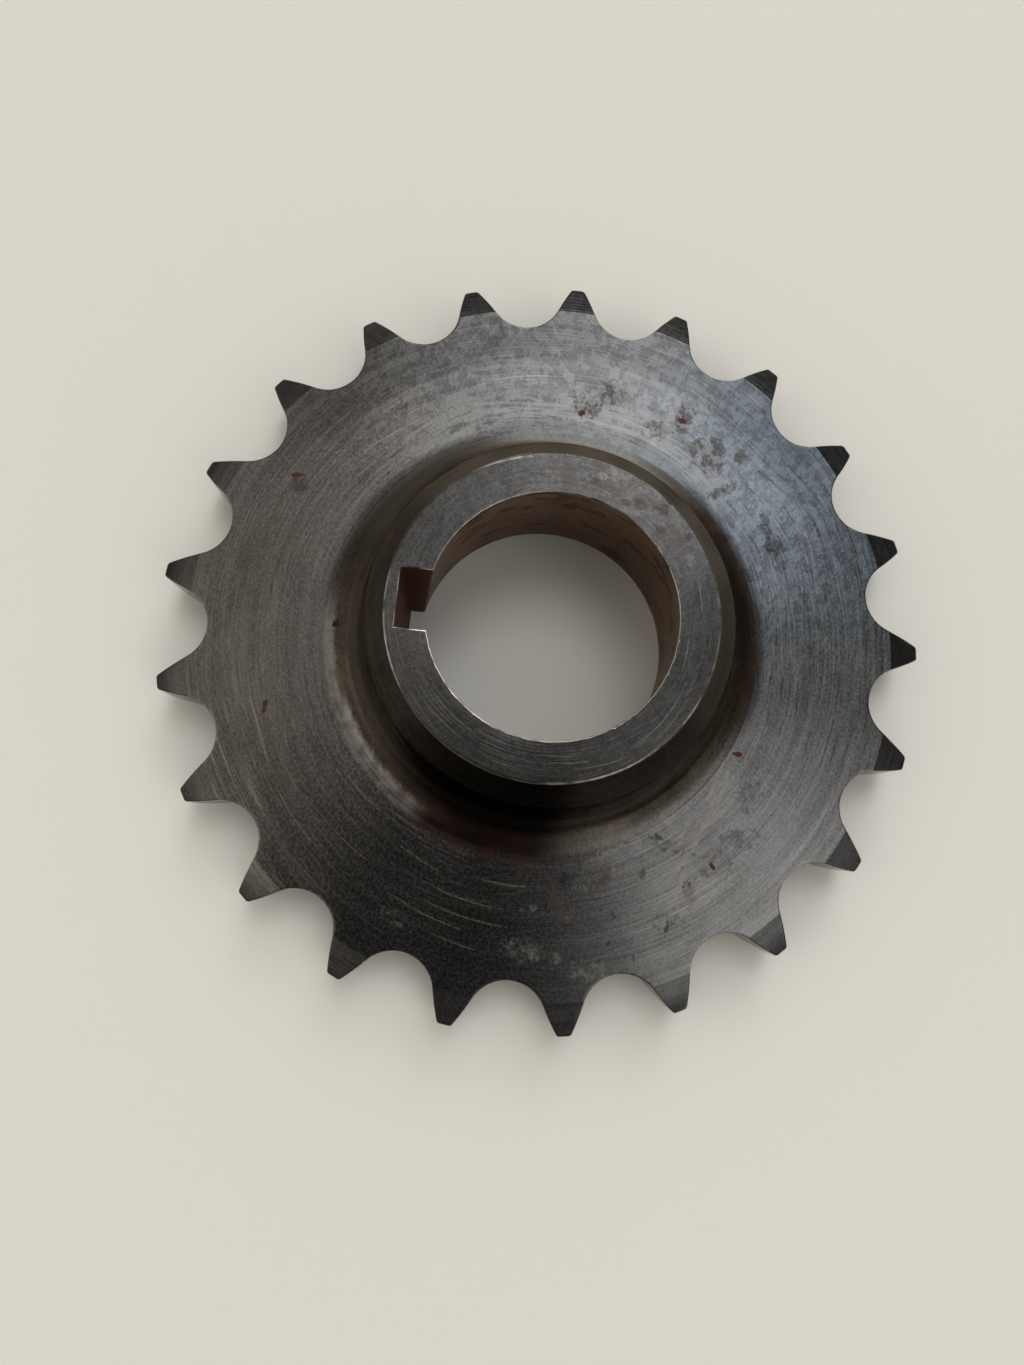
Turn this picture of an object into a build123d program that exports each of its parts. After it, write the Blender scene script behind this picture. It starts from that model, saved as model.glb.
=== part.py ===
"""Roller-chain sprocket for a single chain, turned and cut from one piece of steel.

A toothed plate carries a hub on one side. The bore is tapered, so that a shaft's cone draws in from the
plate side, and a straight keyway runs the whole length of it. +Z is the bore axis, from the back towards
the hub's face. The origin is on that axis, at the back face, and the keyway is on +Y.
"""

import os
from math import acos, atan2, cos, degrees, hypot, pi, radians, sin

from build123d import *

# Chain: pitch and roller diameter of the chain that it drives
teeth = 21
pitch = 12.7
roller_d = 8.51

# Tooth form: a seat arc for the roller, then a flank arc out to the tip
seat_play = 0.14  # seat radius over the roller's own radius
seating_angle = 126.0
flank_radius = 28.0

# Toothed plate, with both sides relieved towards the tooth tips
plate_thickness = 7.4
tip_relief_depth = 1.4
tip_relief_height = 3.75

# Hub, on the front of the plate, and the low boss that it sits on at the back
overall_length = 19.8
hub_d = 39.4
hub_chamfer_width = 2.3
hub_chamfer_height = 2.4
hub_root_radius = 5.1
rear_boss_d = 54.0
rear_boss_height = 0.7

# Tapered bore, measured at its wide end, where the chamfer of its mouth starts
bore_large_d = 29.5
bore_taper = 1 / 6  # loss of diameter per length
bore_mouth_chamfer = 0.4

# Keyway, on +Y: its floor is measured from the axis, and its angle to the nearest tooth is in degrees
keyway_width = 6.35
keyway_floor = 16.1
tooth_beside_keyway = -4.3

edge_break = 0.2
cut_margin = 1.0  # how far a cutter runs past what it cuts

# Sizes that follow from those above
pitch_r = pitch / sin(pi / teeth) / 2
tip_r = pitch_r + (pitch * (1 - 1.6 / teeth) - roller_d) / 2
seat_r = roller_d / 2 + seat_play
hub_r = hub_d / 2
bore_large_r = bore_large_d / 2
bore_small_r = bore_large_r - (overall_length - bore_mouth_chamfer) * bore_taper / 2
plate_back = rear_boss_height
plate_front = plate_back + plate_thickness
relief_r = tip_r - tip_relief_height
tooth_step = 360 / teeth
first_gap_turn = tooth_beside_keyway + tooth_step / 2

# One gap between two teeth, pointing along +Y. Its right half is drawn and then mirrored.
seating_half = seating_angle / 2
flank_reach = seat_r + flank_radius
flank_x = flank_reach * sin(radians(seating_half))
flank_y = pitch_r - flank_reach * cos(radians(seating_half))
flank_centre_r = hypot(flank_x, flank_y)
gap_outer_r = tip_r + cut_margin
# Angle at the flank's centre between the sprocket's axis and the flank's outer end
flank_opening = degrees(
    acos((flank_centre_r**2 + flank_radius**2 - gap_outer_r**2) / (2 * flank_centre_r * flank_radius))
)
flank_start = 90 + seating_half
flank_end = degrees(atan2(-flank_y, -flank_x)) % 360 - flank_opening

with BuildSketch(Plane.XY) as tooth_gap:
    with BuildLine():
        CenterArc((0, pitch_r), seat_r, 270, seating_half)
        flank = CenterArc((flank_x, flank_y), flank_radius, flank_start, flank_end - flank_start)
        flank_tip = flank @ 1
        gap_top = gap_outer_r + cut_margin
        Polyline(flank_tip, (flank_tip.X, gap_top), (0, gap_top))
        mirror(about=Plane.YZ)
    make_face()


with BuildPart() as sprocket:
    # Turned blank with its tapered bore: x is the radius, and y the height
    with BuildSketch(Plane.XZ) as section:
        with BuildLine():
            Polyline(
                (bore_large_r, bore_mouth_chamfer),
                (bore_large_r + bore_mouth_chamfer, 0),
                (rear_boss_d / 2, 0),
                (rear_boss_d / 2, plate_back),
                (relief_r, plate_back),
                (tip_r, plate_back + tip_relief_depth),
                (tip_r, plate_front - tip_relief_depth),
                (relief_r, plate_front),
                (hub_r, plate_front),
                (hub_r, overall_length - hub_chamfer_height),
                (hub_r - hub_chamfer_width, overall_length),
                (bore_small_r, overall_length),
                close=True,
            )
        make_face()
        hub_root = section.vertices().sort_by_distance((hub_r, plate_front))[0]
        fillet(hub_root, radius=hub_root_radius)
    revolve(axis=Axis.Z)

    # Teeth
    with BuildSketch(Plane.XY.offset(plate_back - cut_margin)):
        with PolarLocations(0, teeth, start_angle=first_gap_turn):
            add(tooth_gap.sketch)
    extrude(amount=plate_thickness + 2 * cut_margin, mode=Mode.SUBTRACT)

    # Straight keyway, parallel to the axis
    with BuildSketch(Plane.XY.offset(-cut_margin)):
        Rectangle(keyway_width, keyway_floor, align=(Align.CENTER, Align.MIN))
    extrude(amount=overall_length + 2 * cut_margin, mode=Mode.SUBTRACT)

    # Broken edges round the hub's face, the bore and the keyway's end there
    hub_face = sprocket.faces().sort_by(Axis.Z)[-1]
    chamfer(hub_face.edges(), length=edge_break)


os.makedirs("parts", exist_ok=True)
sprocket.part.label = "sprocket"
export_step(sprocket.part, "parts/sprocket.step")

print("tip diameter", round(2 * tip_r, 2), "pitch diameter", round(2 * pitch_r, 2))
print("bore at the hub's face", round(2 * bore_small_r, 2))
print("volume", round(sprocket.part.volume), "solids", len(sprocket.part.solids()))
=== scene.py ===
"""Looks of a chain sprocket: a worn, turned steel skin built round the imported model.

Sizes are in millimetres and turned into metres where a mesh, lamp or shader takes them. Angles round the
bore are in degrees from +X towards +Y, so the keyway is at 90.
"""

import math

import bmesh
import bpy
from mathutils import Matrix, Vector, noise


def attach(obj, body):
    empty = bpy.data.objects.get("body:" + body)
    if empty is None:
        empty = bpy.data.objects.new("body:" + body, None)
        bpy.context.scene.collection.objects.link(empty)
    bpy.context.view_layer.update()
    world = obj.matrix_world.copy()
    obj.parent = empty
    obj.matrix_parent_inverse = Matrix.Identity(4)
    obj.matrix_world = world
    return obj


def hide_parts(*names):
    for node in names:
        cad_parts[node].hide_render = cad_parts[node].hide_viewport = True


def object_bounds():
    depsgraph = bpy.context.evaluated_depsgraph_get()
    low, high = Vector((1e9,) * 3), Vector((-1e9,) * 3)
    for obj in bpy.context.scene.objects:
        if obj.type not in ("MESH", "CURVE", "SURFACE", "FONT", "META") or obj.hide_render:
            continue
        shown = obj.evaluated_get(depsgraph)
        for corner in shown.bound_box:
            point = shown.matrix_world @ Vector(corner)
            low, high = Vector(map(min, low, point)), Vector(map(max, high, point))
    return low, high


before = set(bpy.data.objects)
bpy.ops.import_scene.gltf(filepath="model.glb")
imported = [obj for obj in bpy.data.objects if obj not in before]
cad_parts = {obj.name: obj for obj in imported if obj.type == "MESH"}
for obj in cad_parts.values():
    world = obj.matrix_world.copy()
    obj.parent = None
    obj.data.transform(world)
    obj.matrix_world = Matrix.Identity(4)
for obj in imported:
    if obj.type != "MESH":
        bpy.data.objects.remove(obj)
cad_low, cad_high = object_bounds()

MM = 0.001

# Chain and tooth form
TEETH = 21
PITCH = 12.7
ROLLER_D = 8.51
SEAT_PLAY = 0.14  # seat radius over the roller's own radius
SEAT_R = ROLLER_D / 2 + SEAT_PLAY
SEATING_HALF = math.radians(63)
FLANK_R = 28.0
PITCH_R = PITCH / math.sin(math.pi / TEETH) / 2
BOX_MARGIN = 0.005  # keeps the tips a hair inside the model's box
TIP_R = PITCH_R + (PITCH * (1 - 1.6 / TEETH) - ROLLER_D) / 2 - BOX_MARGIN
TOOTH_STEP = 360 / TEETH
KEYWAY_ANGLE = 90
FIRST_TOOTH = KEYWAY_ANGLE - 4.3  # the tooth beside the keyway
FLANK_REACH = SEAT_R + FLANK_R
FLANK_X = FLANK_REACH * math.sin(SEATING_HALF)
FLANK_Y = PITCH_R - FLANK_REACH * math.cos(SEATING_HALF)

# Toothed plate: the heights of its two sides, and their relief towards the tips
PLATE_BACK = 0.7
PLATE_FRONT = 8.1
RELIEF_HEIGHT = 3.75  # how far in from the tips each side's relief begins
RELIEF_DEPTH = 1.4
RELIEF_R = TIP_R - RELIEF_HEIGHT
RELIEF_SLOPE = RELIEF_DEPTH / RELIEF_HEIGHT

# Hub, rear boss and tapered bore
HUB_TOP = cad_high.z / MM
HUB_R = 19.7
HUB_CHAMFER_WIDTH = 2.3
HUB_CHAMFER_HEIGHT = 2.4
HUB_ROOT_R = 5.1
BOSS_R = 27.0
BORE_MOUTH_R = 14.75
BORE_MOUTH_HEIGHT = 0.4
BORE_TAPER = 1 / 12  # loss of radius per height
KEYWAY_HALF = 3.175
KEYWAY_FLOOR = 16.1

# How finely the outline is drawn: steps along each stretch of half a tooth gap
SEAT_STEPS = 8
FLANK_STEPS = 6
LAND_STEPS = 2
TIP_CORNER = 0.16  # how far a tip's corner is worn back along its flank and its land

# How finely the section is drawn: steps along each stretch of it
FACE_STEPS = 4
ROOT_STEPS = 14
PLATE_STEPS = 9
FLANK_SHARES = (0.06, 0.5, 0.94)
BACK_STEPS = 4
BOSS_STEPS = 5
BORE_STEPS = 8
RIM_INNER_R = 36.6  # where loops that are drawn towards the teeth begin
BACK_INNER_R = BOSS_R + 0.6  # where the plain loops of the plate's back end
BOSS_ROOT = 0.12  # the small step where the boss meets the plate
BOSS_INNER_GAP = 1.5  # how far outside the bore's mouth the boss's last plain loop lies
MOUTH_BAND = 0.02  # the narrow band where the mouth's chamfer turns into the bore
BORE_BOTTOM_GAP = 0.1  # how far above that chamfer the bore's first plain loop lies
BORE_TOP_GAP = 0.7  # how far below the hub's face its last one lies
CREASE_REACH = 0.002  # how near the relief's crease a point counts as on it
WELD = 0.0001  # points nearer than this are one

# Worn edges. The waves in their width are measured at the plate's rim.
EDGE_STEPS = 3
EDGE_GUARD = 0.12  # width of the band beside an edge where its bright wear fades out
LONG_WAVE = 3.0
SHORT_WAVE = 0.9
SHORT_SHARE = 0.6  # how strong the short waves are, against the long ones
LEAST_WEAR = 0.3  # the share of its mean width that an edge never goes under
CREASE_BRIGHT = 0.15  # how bright the relief's crease is worn, where 1 is a worn edge
MOUTH_BRIGHT = 0.6  # the same for the inner edge of the bore's mouth

# Each worn edge: its mean width, how uneven it is, and the seed of its waves
BORE_RIM_WEAR = (0.09, 0.7, 3)
HUB_RIM_WEAR = (0.07, 0.6, 11)
SHOULDER_WEAR = (0.16, 0.4, 17)
FRONT_TEETH_WEAR = (0.15, 0.6, 23)
BACK_TEETH_WEAR = (0.15, 0.6, 29)
BOSS_WEAR = (0.12, 0.4, 31)
BORE_MOUTH_WEAR = (0.06, 0.3, 37)

# Chips in the hub's edges: first angle, last angle and depth at the first
RIM_CHIPS = [(12.9, 31.0, 0.26), (319.0, 322.5, 0.3), (52.0, 54.0, 0.12), (288.0, 289.0, 0.1)]
BORE_CHIPS = [(286.0, 288.0, 0.2), (298.0, 300.0, 0.16), (309.0, 311.0, 0.18), (213.0, 215.0, 0.22),
              (248.0, 249.5, 0.12), (263.5, 265.0, 0.2)]


# ---- Outline of the teeth, one column for each point ----


def crease_turn(inset):
    """Angle on the roller seat, from its bottom, where the seat meets the relief's crease."""
    seat = SEAT_R + inset
    return math.acos((seat**2 + PITCH_R**2 - RELIEF_R**2) / (2 * PITCH_R * seat))


def flank_end(flank, tip):
    """Angle round the flank's centre where the flank meets the tip circle."""
    to_axis = math.hypot(FLANK_X, FLANK_Y)
    opening = math.acos((to_axis**2 + flank**2 - tip**2) / (2 * to_axis * flank))
    return math.atan2(-FLANK_Y, -FLANK_X) % (2 * math.pi) - opening


def half_gap_point(kind, share, inset):
    """Point on half a gap that points along +Y, with the steel's edge moved in by inset."""
    seat, flank, tip = SEAT_R + inset, FLANK_R - inset, TIP_R - inset
    if kind == "seat":
        turn = share * crease_turn(inset)
        return Vector((seat * math.sin(turn), PITCH_R - seat * math.cos(turn)))
    start = math.pi / 2 + SEATING_HALF
    end = flank_end(flank, tip)
    if kind == "flank":
        turn = start + share * (end - TIP_CORNER / flank * math.copysign(1, end - start) - start)
        return Vector((FLANK_X + flank * math.cos(turn), FLANK_Y + flank * math.sin(turn)))
    corner_x = FLANK_X + flank * math.cos(end)
    corner = math.asin(corner_x / tip) + TIP_CORNER / tip
    turn = corner + share * (math.radians(TOOTH_STEP) / 2 - corner)
    return Vector((tip * math.sin(turn), tip * math.cos(turn)))


def outline_columns():
    """Every column of the outline, counter-clockwise: its gap's turn from +Y, its side and its place."""
    half = [("seat", i / SEAT_STEPS) for i in range(SEAT_STEPS + 1)]
    half += [("flank", i / FLANK_STEPS) for i in range(FLANK_STEPS + 1)]
    half += [("land", i / LAND_STEPS) for i in range(LAND_STEPS + 1)]
    columns = []
    for tooth in range(TEETH):
        turn = math.radians(FIRST_TOOTH + (tooth + 0.5) * TOOTH_STEP - KEYWAY_ANGLE)
        columns += [(turn, 1, *place) for place in reversed(half)]
        columns += [(turn, -1, *place) for place in half[1:-1]]
    return columns


COLUMNS = outline_columns()


def outline_point(column, inset):
    turn, side, kind, share = column
    place = half_gap_point(kind, share, inset)
    x, y = side * place.x, place.y
    return Vector((x * math.cos(turn) - y * math.sin(turn), x * math.sin(turn) + y * math.cos(turn)))


def polar_angle(point):
    return math.atan2(point.y, point.x)


ANGLES = [polar_angle(outline_point(column, 0)) for column in COLUMNS]


# ---- Wear of the edges: how far each column's edge is worn back ----


def wave(angle, size, seed):
    """Smooth noise round the axis, from -1 to 1. size is the length of its waves."""
    reach = TIP_R / size
    return noise.noise(Vector((reach * math.cos(angle), reach * math.sin(angle), seed)))


def edge_widths(wear, chips=()):
    """The worn edge's width at each column."""
    base, rough, seed = wear
    widths = []
    for angle in ANGLES:
        uneven = rough * wave(angle, LONG_WAVE, seed)
        width = base * (1 + uneven + SHORT_SHARE * rough * wave(angle, SHORT_WAVE, seed + 7))
        for first, last, depth in chips:
            along = ((math.degrees(angle) - first) % 360) / ((last - first) % 360)
            width += depth * (1 - along) if along < 1 else 0
        widths.append(max(width, LEAST_WEAR * base))
    return widths


RIM_WIDTHS = edge_widths(HUB_RIM_WEAR, RIM_CHIPS)


# ---- Loops: one point for each column ----


def ring(radius, height):
    """A circle round the axis. radius and height may be one number or one for each column."""
    radii = radius if isinstance(radius, list) else [radius] * len(ANGLES)
    heights = height if isinstance(height, list) else [height] * len(ANGLES)
    return [Vector((r * math.cos(a), r * math.sin(a), h)) for r, h, a in zip(radii, heights, ANGLES)]


def blend(loop_a, loop_b, share):
    return [a.lerp(b, share) for a, b in zip(loop_a, loop_b)]


def front_height(radius):
    return PLATE_FRONT - max(0, radius - RELIEF_R) * RELIEF_SLOPE


def back_height(radius):
    return PLATE_BACK + max(0, radius - RELIEF_R) * RELIEF_SLOPE


def toothed(insets, drops, height_at, into):
    """The outline moved in by insets, on the face of height height_at, and into the steel by drops."""
    loop = []
    for column, inset, drop in zip(COLUMNS, insets, drops):
        point = outline_point(column, inset)
        loop.append(Vector((point.x, point.y, height_at(point.length) + into * drop)))
    return loop


def on_relief(loop, height_at):
    """Each point of an outline drawn back to the relief's crease, where it lies outside it."""
    drawn = []
    for point in loop:
        flat = point.to_2d()
        flat *= min(1, RELIEF_R / flat.length)
        drawn.append(Vector((flat.x, flat.y, height_at(flat.length))))
    return drawn


def on_face(loop_a, loop_b, share, height_at):
    """Between two loops of one face, at the face's own height."""
    between = blend(loop_a, loop_b, share)
    return [Vector((p.x, p.y, height_at(p.to_2d().length))) for p in between]


def nearest_column(degrees_from_keyway):
    wanted = math.radians(KEYWAY_ANGLE + degrees_from_keyway)
    return min(range(len(ANGLES)), key=lambda i: abs(ANGLES[i] - wanted))


# Angles from the keyway's middle, either way
FLOOR_TURN = math.degrees(math.atan(KEYWAY_HALF / KEYWAY_FLOOR))  # its floor ends here
MOUTH_TURN = 13.2  # its mouth ends here, half way along the taper
RELAX_TURN = 32.0  # beyond this the bore's columns are back at their own angles
KEY_MARKS = [nearest_column(d) for d in
             (-RELAX_TURN, -MOUTH_TURN, -FLOOR_TURN, FLOOR_TURN, MOUTH_TURN, RELAX_TURN)]


def bore_loop(radius, height, grow):
    """The bore with its keyway at one height. grow is how far each column's edge is worn back."""
    marks = [ANGLES[i] for i in KEY_MARKS]
    loop = []
    for i, angle in enumerate(ANGLES):
        half, floor, bore = KEYWAY_HALF + grow[i], KEYWAY_FLOOR + grow[i], radius + grow[i]
        mouth = Vector((half, math.sqrt(bore**2 - half**2)))
        side = -1 if angle > math.pi / 2 else 1
        near = (marks[0], marks[1], marks[2]) if side > 0 else (marks[5], marks[4], marks[3])
        if marks[2] <= angle <= marks[3]:
            share = (angle - marks[2]) / (marks[3] - marks[2])
            point = Vector((half * (1 - 2 * share), floor))
        elif marks[1] <= angle <= marks[4]:
            share = (angle - near[2]) / (near[1] - near[2])
            point = Vector((side * half, floor + share * (mouth.y - floor)))
        elif marks[0] <= angle <= marks[5]:
            share = (angle - near[1]) / (near[0] - near[1])
            mouth_angle = math.pi / 2 - side * math.atan2(mouth.x, mouth.y)
            turned = mouth_angle + share * (near[0] - mouth_angle)
            point = bore * Vector((math.cos(turned), math.sin(turned)))
        else:
            point = bore * Vector((math.cos(angle), math.sin(angle)))
        loop.append(Vector((point.x, point.y, height[i] if isinstance(height, list) else height)))
    return loop


# ---- Skin: loops joined one to the next, and round to the first ----


class Skin:
    """Loops of the section, in order. Each band between two loops takes the zone that was set last."""

    def __init__(self):
        self.loops, self.wear, self.zones, self.zone = [], [], [], None

    def add(self, loop, wear=0.0):
        self.loops.append(loop)
        self.wear.append(wear)
        self.zones.append(self.zone)

    def edge(self, make_loop):
        """A worn edge. make_loop takes two shares of its width: back before the edge, and on past it."""
        for i in range(EDGE_STEPS + 1):
            share = i / EDGE_STEPS
            self.add(make_loop((1 - share) ** 2, share**2), 1.0)


def scaled(widths, share):
    return [width * share for width in widths]


def shifted(base, widths, share):
    return [base + width * share for width in widths]


def turned_edge(skin, before, corner, after, widths):
    """A worn edge of the turned section, at corner, between the section's points before and after it."""
    to_before = (before - corner).normalized()
    to_after = (after - corner).normalized()

    def loop(back, on, guard=0.0):
        shift = to_before * back + to_after * on
        apart = (to_before * (back > 0) + to_after * (on > 0)) * guard
        xs = shifted(corner.x + apart.x, widths, shift.x)
        ys = shifted(corner.y + apart.y, widths, shift.y)
        return ring(xs, ys)

    skin.add(loop(1, 0, EDGE_GUARD))
    skin.edge(loop)
    skin.add(loop(0, 1, EDGE_GUARD))


def add_hub_face(skin):
    inner = edge_widths(BORE_RIM_WEAR, BORE_CHIPS)
    bore_r = BORE_MOUTH_R - (HUB_TOP - BORE_MOUTH_HEIGHT) * BORE_TAPER
    skin.zone = "face"
    skin.edge(lambda back, on: bore_loop(bore_r, shifted(HUB_TOP, inner, -back), scaled(inner, on)))
    guard = bore_loop(bore_r, HUB_TOP, shifted(EDGE_GUARD, inner, 1))
    outer = ring(shifted(HUB_R - HUB_CHAMFER_WIDTH - EDGE_GUARD, RIM_WIDTHS, -1), HUB_TOP)
    for i in range(FACE_STEPS):
        skin.add(blend(guard, outer, i / FACE_STEPS))


def add_hub_side(skin):
    top = Vector((0, HUB_TOP))
    rim = Vector((HUB_R - HUB_CHAMFER_WIDTH, HUB_TOP))
    shoulder = Vector((HUB_R, HUB_TOP - HUB_CHAMFER_HEIGHT))
    root_top = Vector((HUB_R, PLATE_FRONT + HUB_ROOT_R))
    turned_edge(skin, top, rim, shoulder, RIM_WIDTHS)
    skin.zone = "side"
    turned_edge(skin, rim, shoulder, root_top, edge_widths(SHOULDER_WEAR))
    for i in range(ROOT_STEPS + 1):
        turn = math.pi + i / ROOT_STEPS * math.pi / 2
        radius = HUB_R + HUB_ROOT_R * (1 + math.cos(turn))
        skin.add(ring(radius, PLATE_FRONT + HUB_ROOT_R * (1 + math.sin(turn))))


def add_toothed_face(skin, height_at, into, widths, outward):
    """One face of the toothed rim, from its inner ring out to the worn edge, or back in again."""
    none = [0.0] * len(COLUMNS)
    inner = ring(RIM_INNER_R, height_at(RIM_INNER_R))
    guard = toothed(shifted(EDGE_GUARD, widths, 1), none, height_at, into)
    crease = on_relief(guard, height_at)
    loops = [(on_face(inner, crease, share, height_at), 0.0) for share in (0, 1 / 3, 2 / 3)]
    loops += [(crease, CREASE_BRIGHT), (on_face(crease, guard, 0.5, height_at), 0.0), (guard, 0.0)]
    for i in range(EDGE_STEPS + 1):
        share = i / EDGE_STEPS
        edge = toothed(scaled(widths, (1 - share) ** 2), scaled(widths, share**2), height_at, into)
        loops.append((edge, 1.0))
    for loop, wear in loops if outward else reversed(loops):
        skin.add(loop, wear)


def add_plate(skin):
    front = edge_widths(FRONT_TEETH_WEAR)
    back = edge_widths(BACK_TEETH_WEAR)
    skin.zone = "plate"
    inner = HUB_R + HUB_ROOT_R
    for i in range(1, PLATE_STEPS):
        skin.add(ring(inner + (RIM_INNER_R - inner) * i / PLATE_STEPS, PLATE_FRONT))
    add_toothed_face(skin, front_height, -1, front, True)
    skin.zone = "flank"
    none = [0.0] * len(COLUMNS)
    low = toothed(none, back, back_height, 1)
    high = toothed(none, front, front_height, -1)
    for share in FLANK_SHARES:
        skin.add(blend(high, low, share))
    skin.zone = "back"
    add_toothed_face(skin, back_height, 1, back, False)
    for i in range(1, BACK_STEPS + 1):
        skin.add(ring(RIM_INNER_R - (RIM_INNER_R - BACK_INNER_R) * i / BACK_STEPS, PLATE_BACK))


def add_back(skin):
    mouth_r = BORE_MOUTH_R + BORE_MOUTH_HEIGHT
    skin.add(ring(BOSS_R + BOSS_ROOT, PLATE_BACK))
    skin.add(ring(BOSS_R, PLATE_BACK - BOSS_ROOT))
    rim = edge_widths(BOSS_WEAR)
    skin.edge(lambda back, on: ring(shifted(BOSS_R, rim, -on), scaled(rim, back)))
    outer = BOSS_R - EDGE_GUARD - max(rim)
    for i in range(BOSS_STEPS + 1):
        skin.add(ring(outer + (mouth_r + BOSS_INNER_GAP - outer) * i / BOSS_STEPS, 0))
    mouth = edge_widths(BORE_MOUTH_WEAR)
    skin.add(bore_loop(mouth_r, 0, shifted(EDGE_GUARD, mouth, 1)))
    skin.edge(lambda back, on: bore_loop(mouth_r, scaled(mouth, on), scaled(mouth, back)))


def add_bore(skin):
    skin.zone = "bore"
    none = [0.0] * len(COLUMNS)
    chamfer_end = bore_loop(BORE_MOUTH_R + MOUTH_BAND, BORE_MOUTH_HEIGHT - MOUTH_BAND, none)
    skin.add(chamfer_end, MOUTH_BRIGHT)
    bottom, top = BORE_MOUTH_HEIGHT + BORE_BOTTOM_GAP, HUB_TOP - BORE_TOP_GAP
    for i in range(BORE_STEPS + 1):
        height = bottom + (top - bottom) * i / BORE_STEPS
        skin.add(bore_loop(BORE_MOUTH_R - (height - BORE_MOUTH_HEIGHT) * BORE_TAPER, height, none))


ZONES = ["face", "side", "plate", "flank", "back", "bore"]


def crisp_creases(mesh):
    """Keeps the turned crease where each side's relief begins as a clean line."""

    def on_crease(vert):
        return abs(vert.co.to_2d().length / MM - RELIEF_R) < CREASE_REACH

    for edge in mesh.edges:
        if all(on_crease(vert) for vert in edge.verts):
            edge.smooth = False


def join_loops(skin):
    """A mesh of the skin's loops, joined one to the next, and the last one to the first."""
    mesh = bmesh.new()
    wear_layer = mesh.verts.layers.float.new("edge_wear")
    rows = []
    for loop, wear in zip(skin.loops, skin.wear):
        row = [mesh.verts.new(point * MM) for point in loop]
        for vert in row:
            vert[wear_layer] = wear
        rows.append(row)
    zones = skin.zones[1:] + [skin.zone]
    for row, after, zone in zip(rows, rows[1:] + rows[:1], zones):
        for j in range(len(COLUMNS)):
            k = (j + 1) % len(COLUMNS)
            face = mesh.faces.new((row[j], row[k], after[k], after[j]))
            face.material_index = ZONES.index(zone)
            face.smooth = True
    return mesh


def build_skin():
    skin = Skin()
    add_hub_face(skin)
    add_hub_side(skin)
    add_plate(skin)
    add_back(skin)
    add_bore(skin)
    mesh = join_loops(skin)
    bmesh.ops.remove_doubles(mesh, verts=mesh.verts, dist=WELD * MM)
    bmesh.ops.dissolve_degenerate(mesh, edges=mesh.edges, dist=WELD * MM)
    bmesh.ops.recalc_face_normals(mesh, faces=mesh.faces)
    crisp_creases(mesh)
    data = bpy.data.meshes.new("sprocket_steel")
    mesh.to_mesh(data)
    mesh.free()
    piece = bpy.data.objects.new("sprocket_steel", data)
    bpy.context.scene.collection.objects.link(piece)
    weigh = piece.modifiers.new("flat_faces", "WEIGHTED_NORMAL")
    weigh.mode = "FACE_AREA"
    weigh.keep_sharp = True
    return piece


# ---- Nodes ----


def opaque(colour):
    return (*colour, 1.0)


class Graph:
    """Adds nodes to one tree, each fed with numbers or with other nodes' outputs."""

    def __init__(self, tree):
        self.tree = tree

    def feed(self, socket, value):
        if isinstance(value, bpy.types.NodeSocket):
            self.tree.links.new(value, socket)
        else:
            socket.default_value = value

    def node(self, kind, inputs=None, **settings):
        node = self.tree.nodes.new(kind)
        for name, value in settings.items():
            setattr(node, name, value)
        for name, value in (inputs or {}).items():
            self.feed(node.inputs[name], value)
        return node

    def math(self, operation, *values):
        node = self.node("ShaderNodeMath", operation=operation)
        for socket, value in zip(node.inputs, values):
            self.feed(socket, value)
        return node.outputs[0]

    def vector(self, operation, *values):
        node = self.node("ShaderNodeVectorMath", operation=operation)
        sockets = [node.inputs[0], node.inputs["Scale"]] if operation == "SCALE" else node.inputs
        for socket, value in zip(sockets, values):
            self.feed(socket, value)
        return node.outputs["Value" if operation in ("LENGTH", "DOT_PRODUCT") else "Vector"]

    def smooth(self, value, low, high, at_low=0.0, at_high=1.0):
        """Smooth step from one value to another, as value goes from low to high."""
        sockets = {"Value": value, "From Min": low, "From Max": high, "To Min": at_low, "To Max": at_high}
        return self.node("ShaderNodeMapRange", sockets, interpolation_type="SMOOTHSTEP").outputs["Result"]

    def fall(self, value, low, high):
        """1 below low, fading to 0 at high."""
        return self.smooth(value, low, high, 1.0, 0.0)

    def rest(self, mask):
        """What a mask leaves: 1 where it is 0."""
        return self.math("SUBTRACT", 1.0, mask)

    def mix(self, share, first, second):
        node = self.node("ShaderNodeMix", data_type="RGBA")
        for index, value in zip((0, 6, 7), (share, first, second)):
            self.feed(node.inputs[index], value)
        return node.outputs[2]

    def blend(self, share, first, second):
        node = self.node("ShaderNodeMix", data_type="FLOAT")
        for index, value in zip((0, 2, 3), (share, first, second)):
            self.feed(node.inputs[index], value)
        return node.outputs[0]

    def noise(self, place, scale, detail=3.0, roughness=0.55):
        sockets = {"Vector": place, "Scale": scale, "Detail": detail, "Roughness": roughness}
        return self.node("ShaderNodeTexNoise", sockets).outputs["Fac"]

    def parts(self, vector):
        return self.node("ShaderNodeSeparateXYZ", {"Vector": vector}).outputs

    def join(self, x, y, z):
        return self.node("ShaderNodeCombineXYZ", {"X": x, "Y": y, "Z": z}).outputs["Vector"]

    def turned(self, vector, angle):
        """A vector turned about the bore's axis."""
        sockets = {"Vector": vector, "Angle": angle}
        return self.node("ShaderNodeVectorRotate", sockets, rotation_type="Z_AXIS").outputs["Vector"]

    def place_mm(self):
        """This point on the steel, in millimetres."""
        place = self.node("ShaderNodeTexCoord").outputs["Object"]
        return self.vector("SCALE", place, 1 / MM)

    def group(self, name, **inputs):
        node = self.node("ShaderNodeGroup", node_tree=bpy.data.node_groups[name])
        for label, value in inputs.items():
            self.feed(node.inputs[label], value)
        return node.outputs


SOCKETS = {float: "NodeSocketFloat", tuple: "NodeSocketVector"}


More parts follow.
